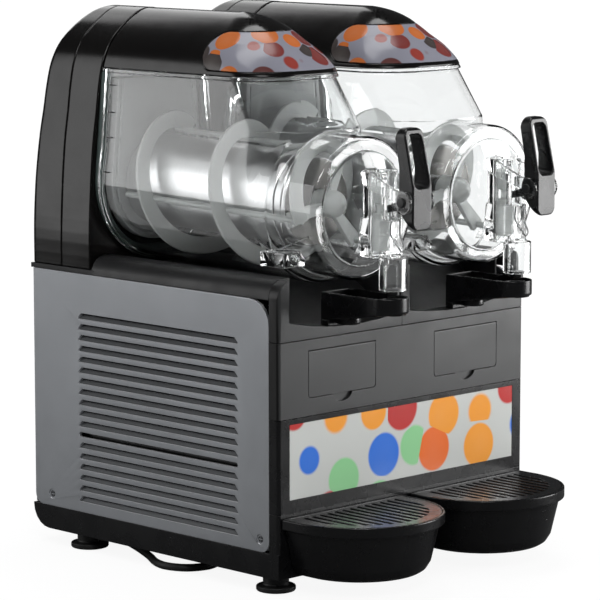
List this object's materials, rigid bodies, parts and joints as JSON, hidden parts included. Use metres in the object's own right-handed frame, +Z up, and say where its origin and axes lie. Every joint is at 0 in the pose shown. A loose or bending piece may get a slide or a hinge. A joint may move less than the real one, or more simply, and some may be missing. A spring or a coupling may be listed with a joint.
{
  "type": "frozen drink dispenser",
  "caption": "Counter-top slush machine: clear tilted bowls with spiral augers on a louvred cabinet, pull-handle taps, lift-off lids, lit display panel and pull-out drip trays.",
  "frame": {"origin": "centre of the footprint, on the surface under the feet", "axes": "+Z up, front towards -Y, +X to the right seen from the front"},
  "size_m": [0.4163, 0.6819, 0.628],
  "materials": {
    "black_plastic": "fine-grained satin black",
    "gloss_black": "smooth semi-gloss black",
    "dark_panel": "dark grey satin coating",
    "grey_steel": "mid-grey satin coating",
    "clear_plastic": "clear polished polycarbonate",
    "white_plastic": "translucent white moulding",
    "grey_plastic": "light grey moulding",
    "steel": "circumferentially brushed",
    "condenser_metal": "pressed fins",
    "black_paint": "black enamel",
    "rubber": "matt black rubber",
    "seal_rubber": "grey-green seal rubber",
    "panel_white": "off-white diffusing sheet"
  },
  "bodies": {
    "machine": {"base_pan": "black_plastic", "rear_panel": "grey_steel", "top_deck": "black_plastic", "front_middle": "dark_panel", "display_frame": "black_plastic", "display_window": "panel_white", "foot_front_left": "rubber", "foot_front_right": "rubber", "foot_rear_left": "rubber", "foot_rear_right": "rubber", "compressor": "black_paint", "condenser": "condenser_metal", "control_box": "grey_plastic", "cord_gland": "rubber", "cord": "rubber", "cord_coil": "rubber", "plug": "black_plastic", "side_panel_left": "grey_steel", "front_upper_left": "dark_panel", "column_left": "gloss_black", "rear_cover_left": "gloss_black", "gasket_left": "seal_rubber", "back_plate_left": "grey_plastic", "evaporator_left": "steel", "motor_left": "black_paint", "side_panel_right": "grey_steel", "front_upper_right": "dark_panel", "column_right": "gloss_black", "rear_cover_right": "gloss_black", "gasket_right": "seal_rubber", "back_plate_right": "grey_plastic", "evaporator_right": "steel", "motor_right": "black_paint"},
    "fan": {"fan": "black_plastic"},
    "auger_left": {"auger_left": "white_plastic", "shaft_left": "steel"},
    "bowl_left": {"bowl_left": "clear_plastic", "pin_left": "black_plastic", "spring_left": "steel"},
    "handle_left": {"handle_left": "black_plastic"},
    "piston_left": {"piston_left": "white_plastic"},
    "door_left": {"door_left": "dark_panel"},
    "drip_tray_left": {"drip_tray_left": "black_plastic"},
    "grid_left": {"grid_left": "black_plastic"},
    "catch_tray_left": {"catch_tray_left": "black_plastic"},
    "lid_left": {"lid_left": "gloss_black", "lens_left": "gloss_black"},
    "auger_right": {"auger_right": "white_plastic", "shaft_right": "steel"},
    "bowl_right": {"bowl_right": "clear_plastic", "pin_right": "black_plastic", "spring_right": "steel"},
    "handle_right": {"handle_right": "black_plastic"},
    "piston_right": {"piston_right": "white_plastic"},
    "door_right": {"door_right": "dark_panel"},
    "drip_tray_right": {"drip_tray_right": "black_plastic"},
    "grid_right": {"grid_right": "black_plastic"},
    "catch_tray_right": {"catch_tray_right": "black_plastic"},
    "lid_right": {"lid_right": "gloss_black", "lens_right": "gloss_black"}
  },
  "joints": [
    {"name": "fan_spin", "type": "hinge", "parent": "machine", "child": "fan", "pos_m": [-0.146, 0.0507, 0.162], "axis": [1, 0, 0], "continuous": true},
    {"name": "auger_spin_left", "type": "hinge", "parent": "machine", "child": "auger_left", "pos_m": [-0.1013, -0.1453, 0.422], "axis": [0, 0.9995, 0.0305], "continuous": true},
    {"name": "bowl_pull_left", "type": "slide", "parent": "machine", "child": "bowl_left", "axis": [0, -0.9995, -0.0305], "range_m": [0, 0.3]},
    {"name": "lid_lift_left", "type": "slide", "parent": "bowl_left", "child": "lid_left", "axis": [0, 0, 1], "range_m": [0, 0.12]},
    {"name": "handle_turn_left", "type": "hinge", "parent": "bowl_left", "child": "handle_left", "pos_m": [-0.1013, -0.2513, 0.4345], "axis": [1, 0, 0], "range_deg": [0, 30], "stiffness_Nm_per_rad": 0.3, "springref_deg": -17.19},
    {"name": "piston_lift_left", "type": "slide", "parent": "bowl_left", "child": "piston_left", "axis": [0, 0, 1], "range_m": [0, 0.0215]},
    {"name": "door_turn_left", "type": "hinge", "parent": "machine", "child": "door_left", "pos_m": [-0.101, -0.1438, 0.2651], "axis": [-1, 0, 0], "range_deg": [0, 90]},
    {"name": "drip_tray_slide_left", "type": "slide", "parent": "machine", "child": "drip_tray_left", "axis": [0, -1, 0], "range_m": [0, 0.1]},
    {"name": "grid_lift_left", "type": "slide", "parent": "drip_tray_left", "child": "grid_left", "axis": [0, 0, 1], "range_m": [0, 0.06]},
    {"name": "catch_tray_slide_left", "type": "slide", "parent": "machine", "child": "catch_tray_left", "axis": [0, -1, 0], "range_m": [0, 0.08]},
    {"name": "auger_spin_right", "type": "hinge", "parent": "machine", "child": "auger_right", "pos_m": [0.1013, -0.1453, 0.422], "axis": [0, 0.9995, 0.0305], "continuous": true},
    {"name": "bowl_pull_right", "type": "slide", "parent": "machine", "child": "bowl_right", "axis": [0, -0.9995, -0.0305], "range_m": [0, 0.3]},
    {"name": "lid_lift_right", "type": "slide", "parent": "bowl_right", "child": "lid_right", "axis": [0, 0, 1], "range_m": [0, 0.12]},
    {"name": "handle_turn_right", "type": "hinge", "parent": "bowl_right", "child": "handle_right", "pos_m": [0.1013, -0.2513, 0.4345], "axis": [1, 0, 0], "range_deg": [0, 30], "stiffness_Nm_per_rad": 0.3, "springref_deg": -17.19},
    {"name": "piston_lift_right", "type": "slide", "parent": "bowl_right", "child": "piston_right", "axis": [0, 0, 1], "range_m": [0, 0.0215]},
    {"name": "door_turn_right", "type": "hinge", "parent": "machine", "child": "door_right", "pos_m": [0.101, -0.1438, 0.2651], "axis": [-1, 0, 0], "range_deg": [0, 90]},
    {"name": "drip_tray_slide_right", "type": "slide", "parent": "machine", "child": "drip_tray_right", "axis": [0, -1, 0], "range_m": [0, 0.1]},
    {"name": "grid_lift_right", "type": "slide", "parent": "drip_tray_right", "child": "grid_right", "axis": [0, 0, 1], "range_m": [0, 0.06]},
    {"name": "catch_tray_slide_right", "type": "slide", "parent": "machine", "child": "catch_tray_right", "axis": [0, -1, 0], "range_m": [0, 0.08]}
  ],
  "couplings": [
    {"joint": "piston_lift_left", "follows": "handle_turn_left", "m_per_rad": 0.0409},
    {"joint": "piston_lift_right", "follows": "handle_turn_right", "m_per_rad": 0.0409}
  ]
}
